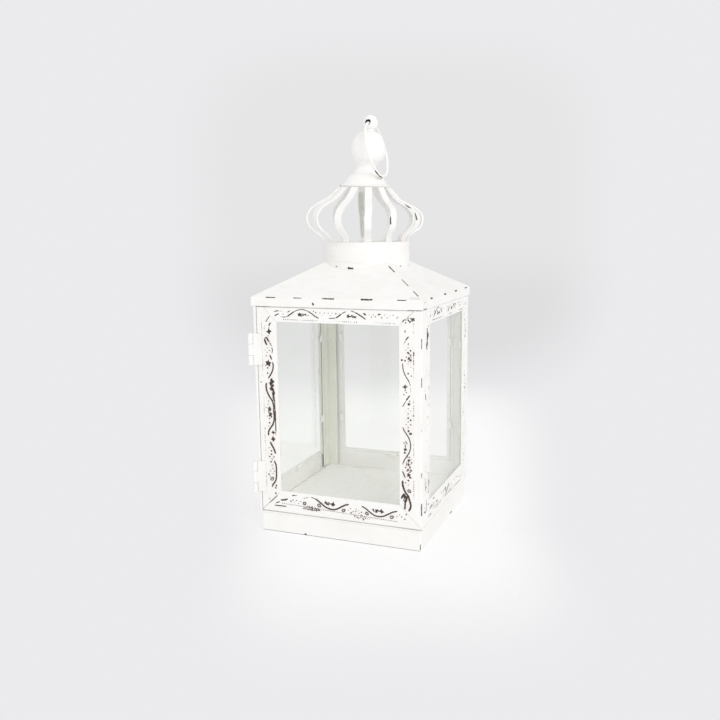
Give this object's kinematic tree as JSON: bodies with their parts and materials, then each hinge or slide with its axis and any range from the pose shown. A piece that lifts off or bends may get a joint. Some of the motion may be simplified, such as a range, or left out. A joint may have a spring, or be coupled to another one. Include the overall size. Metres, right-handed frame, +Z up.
{
  "type": "lantern",
  "caption": "Square painted metal lantern with glazed walls, a hinged glazed door, a hipped roof, an open ribbed crown, a bulb finial and a hanging ring.",
  "frame": {"origin": "centre of the base's underside, on the surface that the lantern stands on", "axes": "+Z up; -Y out of the door; +X to the right of the door, which hinges at -X"},
  "size_m": [0.1656, 0.1656, 0.3838],
  "materials": {
    "bolt_steel": "bare steel, slightly dulled",
    "keeper_steel": "bare steel, slightly dulled",
    "magnet_case": "matte black case",
    "paint_base": "matte off-white paint, rubbed through to dark brown on edges and raised ornament",
    "paint_cap": "matte off-white paint, rubbed through to dark brown on edges and raised ornament",
    "paint_collar": "matte off-white paint, rubbed through to dark brown on edges and raised ornament",
    "paint_finial": "matte off-white paint, rubbed through to dark brown on edges and raised ornament",
    "paint_floor": "matte off-white paint, rubbed through to dark brown on edges and raised ornament",
    "paint_hinge": "matte off-white paint, rubbed through to dark brown on edges and raised ornament",
    "paint_level_strip": "matte off-white paint, rubbed through to dark brown on edges and raised ornament",
    "paint_post": "matte off-white paint, rubbed through to dark brown on edges and raised ornament",
    "paint_rib": "matte off-white paint, rubbed through to dark brown on edges and raised ornament",
    "paint_ring": "matte off-white paint, rubbed through to dark brown on edges and raised ornament",
    "paint_roof": "matte off-white paint, rubbed through to dark brown on edges and raised ornament",
    "paint_upright_strip": "matte off-white paint, rubbed through to dark brown on edges and raised ornament",
    "window_glass": "clear polished pane"
  },
  "bodies": {
    "lantern": {"back_left_post": "paint_post", "back_right_post": "paint_post", "back_wall_bottom_rail": "paint_level_strip", "back_wall_glass": "window_glass", "back_wall_left_stile": "paint_upright_strip", "back_wall_right_stile": "paint_upright_strip", "back_wall_top_rail": "paint_level_strip", "base_tray": "paint_base", "catch_magnet": "magnet_case", "collar": "paint_collar", "crown_cap": "paint_cap", "crown_rib_01": "paint_rib", "crown_rib_02": "paint_rib", "crown_rib_03": "paint_rib", "crown_rib_04": "paint_rib", "crown_rib_05": "paint_rib", "crown_rib_06": "paint_rib", "crown_rib_07": "paint_rib", "crown_rib_08": "paint_rib", "crown_rib_09": "paint_rib", "crown_rib_10": "paint_rib", "crown_rib_11": "paint_rib", "crown_rib_12": "paint_rib", "finial_ball": "paint_finial", "finial_bolt": "bolt_steel", "finial_bulb": "paint_finial", "floor_plate": "paint_floor", "front_left_post": "paint_post", "front_right_post": "paint_post", "left_wall_bottom_rail": "paint_level_strip", "left_wall_glass": "window_glass", "left_wall_left_stile": "paint_upright_strip", "left_wall_right_stile": "paint_upright_strip", "left_wall_top_rail": "paint_level_strip", "lower_hinge_fixed_leaf": "paint_hinge", "lower_hinge_pin": "paint_hinge", "right_wall_bottom_rail": "paint_level_strip", "right_wall_glass": "window_glass", "right_wall_left_stile": "paint_upright_strip", "right_wall_right_stile": "paint_upright_strip", "right_wall_top_rail": "paint_level_strip", "roof": "paint_roof", "upper_hinge_fixed_leaf": "paint_hinge", "upper_hinge_pin": "paint_hinge"},
    "door": {"door_left_stile": "paint_upright_strip", "door_right_stile": "paint_upright_strip", "door_bottom_rail": "paint_level_strip", "door_top_rail": "paint_level_strip", "door_glass": "window_glass", "catch_keeper": "keeper_steel", "upper_hinge_door_leaf": "paint_hinge", "lower_hinge_door_leaf": "paint_hinge"},
    "ring": {"hanging_ring": "paint_ring"}
  },
  "joints": [
    {"name": "door_hinge", "type": "hinge", "parent": "lantern", "child": "door", "pos_m": [-0.0824, -0.0824, 0.1132], "axis": [0, 0, -1], "range_deg": [0, 180]},
    {"name": "ring_swing", "type": "hinge", "parent": "lantern", "child": "ring", "pos_m": [0.00564, 0, 0.37676], "axis": [0, -1, 0], "range_deg": [0, 322.1]}
  ]
}
